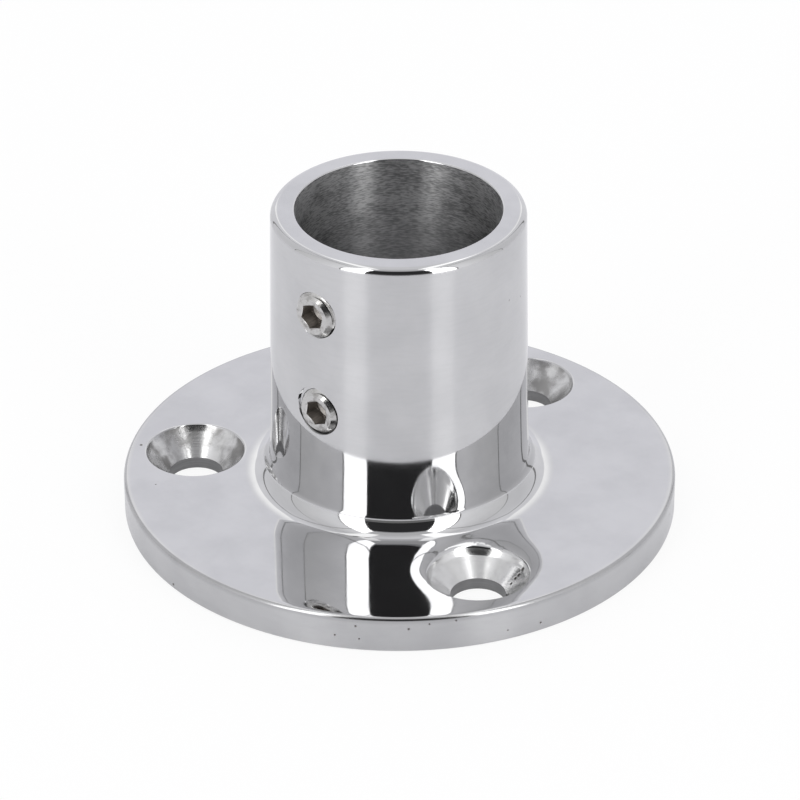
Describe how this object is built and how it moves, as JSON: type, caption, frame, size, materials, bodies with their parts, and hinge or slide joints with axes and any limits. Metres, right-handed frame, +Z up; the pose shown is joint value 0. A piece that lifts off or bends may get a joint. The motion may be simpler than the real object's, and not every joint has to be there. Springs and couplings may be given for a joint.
{
  "type": "round tube base flange",
  "caption": "Round flanged foot that holds an upright tube in a straight socket, locked by grub screws and fixed down through countersunk holes.",
  "frame": {"origin": "centre of the flange's underside, on the socket's axis", "axes": "+Z up the socket towards its open mouth, -Y the side that the grub screws face, +Y towards the fixing hole opposite them"},
  "size_m": [0.07, 0.07, 0.042],
  "materials": {
    "polished_casting": "mirror polished stainless casting, bore left with turning marks",
    "screw_steel": "bright stainless, turned and broached"
  },
  "bodies": {
    "root": {"flange_body": "polished_casting", "upper_grub_screw": "screw_steel", "lower_grub_screw": "screw_steel"}
  },
  "joints": []
}
